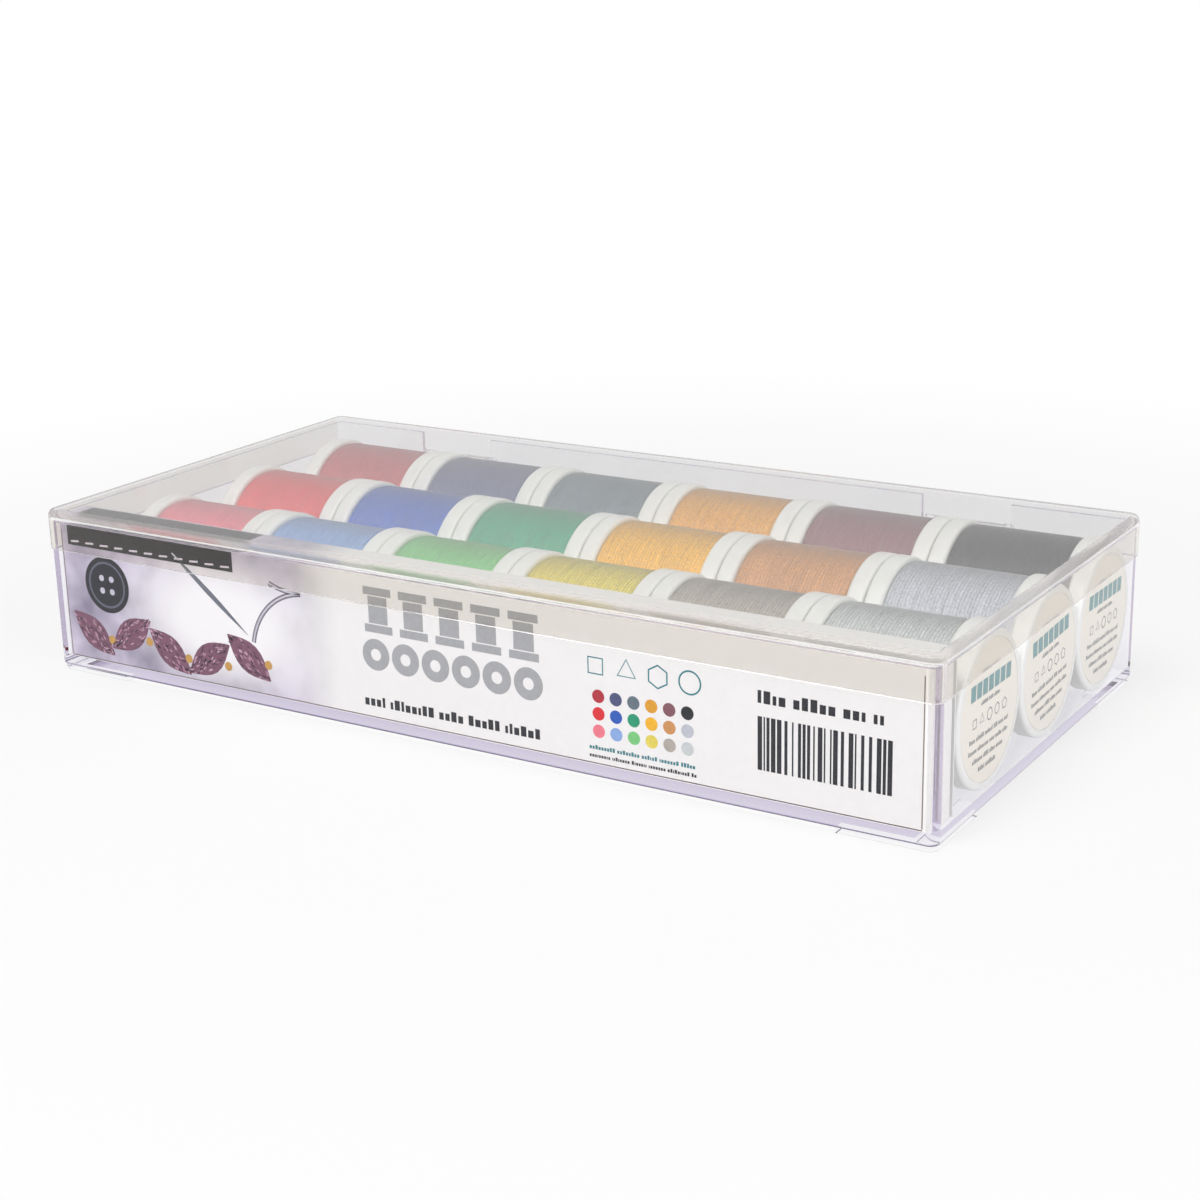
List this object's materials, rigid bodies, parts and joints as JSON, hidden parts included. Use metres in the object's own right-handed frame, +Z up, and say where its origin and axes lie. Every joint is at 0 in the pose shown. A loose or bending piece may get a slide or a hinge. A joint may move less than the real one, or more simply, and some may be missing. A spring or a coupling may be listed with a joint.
{
  "type": "box of thread spools",
  "caption": "Clear hinged plastic box with rows of coloured thread spools lying behind a folded printed card.",
  "frame": {"origin": "on the table, below the middle of the box", "axes": "+X along the box, +Y from the front wall with the card to the hinged back, +Z up"},
  "size_m": [0.252, 0.1262, 0.0441],
  "materials": {
    "clear_polystyrene": "polished clear moulding",
    "white_plastic": "satin moulding",
    "printed_card": "coated white card",
    "label_paper": "uncoated cream paper",
    "thread_burgundy": "wound rayon thread with a silky sheen",
    "thread_navy": "wound rayon thread with a silky sheen",
    "thread_charcoal": "wound rayon thread with a silky sheen",
    "thread_gold": "wound rayon thread with a silky sheen",
    "thread_plum": "wound rayon thread with a silky sheen",
    "thread_black": "wound rayon thread with a silky sheen",
    "thread_red": "wound rayon thread with a silky sheen",
    "thread_royal_blue": "wound rayon thread with a silky sheen",
    "thread_emerald": "wound rayon thread with a silky sheen",
    "thread_golden_yellow": "wound rayon thread with a silky sheen",
    "thread_tan": "wound rayon thread with a silky sheen",
    "thread_silver": "wound rayon thread with a silky sheen",
    "thread_salmon": "wound rayon thread with a silky sheen",
    "thread_light_blue": "wound rayon thread with a silky sheen",
    "thread_light_green": "wound rayon thread with a silky sheen",
    "thread_olive_yellow": "wound rayon thread with a silky sheen",
    "thread_taupe": "wound rayon thread with a silky sheen",
    "thread_pearl": "wound rayon thread with a silky sheen"
  },
  "bodies": {
    "base": {"base_tray": "clear_polystyrene", "front_card": "printed_card"},
    "lid": {"lid": "clear_polystyrene"},
    "spool_back_1": {"spool_back_1": "white_plastic", "thread_back_1": "thread_burgundy", "labels_back_1": "label_paper"},
    "spool_back_2": {"spool_back_2": "white_plastic", "thread_back_2": "thread_navy", "labels_back_2": "label_paper"},
    "spool_back_3": {"spool_back_3": "white_plastic", "thread_back_3": "thread_charcoal", "labels_back_3": "label_paper"},
    "spool_back_4": {"spool_back_4": "white_plastic", "thread_back_4": "thread_gold", "labels_back_4": "label_paper"},
    "spool_back_5": {"spool_back_5": "white_plastic", "thread_back_5": "thread_plum", "labels_back_5": "label_paper"},
    "spool_back_6": {"spool_back_6": "white_plastic", "thread_back_6": "thread_black", "labels_back_6": "label_paper"},
    "spool_middle_1": {"spool_middle_1": "white_plastic", "thread_middle_1": "thread_red", "labels_middle_1": "label_paper"},
    "spool_middle_2": {"spool_middle_2": "white_plastic", "thread_middle_2": "thread_royal_blue", "labels_middle_2": "label_paper"},
    "spool_middle_3": {"spool_middle_3": "white_plastic", "thread_middle_3": "thread_emerald", "labels_middle_3": "label_paper"},
    "spool_middle_4": {"spool_middle_4": "white_plastic", "thread_middle_4": "thread_golden_yellow", "labels_middle_4": "label_paper"},
    "spool_middle_5": {"spool_middle_5": "white_plastic", "thread_middle_5": "thread_tan", "labels_middle_5": "label_paper"},
    "spool_middle_6": {"spool_middle_6": "white_plastic", "thread_middle_6": "thread_silver", "labels_middle_6": "label_paper"},
    "spool_front_1": {"spool_front_1": "white_plastic", "thread_front_1": "thread_salmon", "labels_front_1": "label_paper"},
    "spool_front_2": {"spool_front_2": "white_plastic", "thread_front_2": "thread_light_blue", "labels_front_2": "label_paper"},
    "spool_front_3": {"spool_front_3": "white_plastic", "thread_front_3": "thread_light_green", "labels_front_3": "label_paper"},
    "spool_front_4": {"spool_front_4": "white_plastic", "thread_front_4": "thread_olive_yellow", "labels_front_4": "label_paper"},
    "spool_front_5": {"spool_front_5": "white_plastic", "thread_front_5": "thread_taupe", "labels_front_5": "label_paper"},
    "spool_front_6": {"spool_front_6": "white_plastic", "thread_front_6": "thread_pearl", "labels_front_6": "label_paper"}
  },
  "joints": [
    {"name": "lid_hinge", "type": "hinge", "parent": "base", "child": "lid", "pos_m": [0, 0.06235, 0.0332], "axis": [-1, 0, 0], "range_deg": [0, 180]},
    {"name": "turn_back_1", "type": "hinge", "parent": "base", "child": "spool_back_1", "pos_m": [-0.09258, 0.0412, 0.02225], "axis": [1, 0, 0], "continuous": true},
    {"name": "turn_back_2", "type": "hinge", "parent": "base", "child": "spool_back_2", "pos_m": [-0.05343, 0.0412, 0.02225], "axis": [1, 0, 0], "continuous": true},
    {"name": "turn_back_3", "type": "hinge", "parent": "base", "child": "spool_back_3", "pos_m": [-0.01427, 0.0412, 0.02225], "axis": [1, 0, 0], "continuous": true},
    {"name": "turn_back_4", "type": "hinge", "parent": "base", "child": "spool_back_4", "pos_m": [0.02488, 0.0412, 0.02225], "axis": [1, 0, 0], "continuous": true},
    {"name": "turn_back_5", "type": "hinge", "parent": "base", "child": "spool_back_5", "pos_m": [0.06402, 0.0412, 0.02225], "axis": [1, 0, 0], "continuous": true},
    {"name": "turn_back_6", "type": "hinge", "parent": "base", "child": "spool_back_6", "pos_m": [0.10318, 0.0412, 0.02225], "axis": [1, 0, 0], "continuous": true},
    {"name": "turn_middle_1", "type": "hinge", "parent": "base", "child": "spool_middle_1", "pos_m": [-0.09258, 0.00505, 0.02225], "axis": [1, 0, 0], "continuous": true},
    {"name": "turn_middle_2", "type": "hinge", "parent": "base", "child": "spool_middle_2", "pos_m": [-0.05343, 0.00505, 0.02225], "axis": [1, 0, 0], "continuous": true},
    {"name": "turn_middle_3", "type": "hinge", "parent": "base", "child": "spool_middle_3", "pos_m": [-0.01427, 0.00505, 0.02225], "axis": [1, 0, 0], "continuous": true},
    {"name": "turn_middle_4", "type": "hinge", "parent": "base", "child": "spool_middle_4", "pos_m": [0.02488, 0.00505, 0.02225], "axis": [1, 0, 0], "continuous": true},
    {"name": "turn_middle_5", "type": "hinge", "parent": "base", "child": "spool_middle_5", "pos_m": [0.06402, 0.00505, 0.02225], "axis": [1, 0, 0], "continuous": true},
    {"name": "turn_middle_6", "type": "hinge", "parent": "base", "child": "spool_middle_6", "pos_m": [0.10318, 0.00505, 0.02225], "axis": [1, 0, 0], "continuous": true},
    {"name": "turn_front_1", "type": "hinge", "parent": "base", "child": "spool_front_1", "pos_m": [-0.09258, -0.0311, 0.02225], "axis": [1, 0, 0], "continuous": true},
    {"name": "turn_front_2", "type": "hinge", "parent": "base", "child": "spool_front_2", "pos_m": [-0.05343, -0.0311, 0.02225], "axis": [1, 0, 0], "continuous": true},
    {"name": "turn_front_3", "type": "hinge", "parent": "base", "child": "spool_front_3", "pos_m": [-0.01427, -0.0311, 0.02225], "axis": [1, 0, 0], "continuous": true},
    {"name": "turn_front_4", "type": "hinge", "parent": "base", "child": "spool_front_4", "pos_m": [0.02488, -0.0311, 0.02225], "axis": [1, 0, 0], "continuous": true},
    {"name": "turn_front_5", "type": "hinge", "parent": "base", "child": "spool_front_5", "pos_m": [0.06402, -0.0311, 0.02225], "axis": [1, 0, 0], "continuous": true},
    {"name": "turn_front_6", "type": "hinge", "parent": "base", "child": "spool_front_6", "pos_m": [0.10318, -0.0311, 0.02225], "axis": [1, 0, 0], "continuous": true}
  ]
}
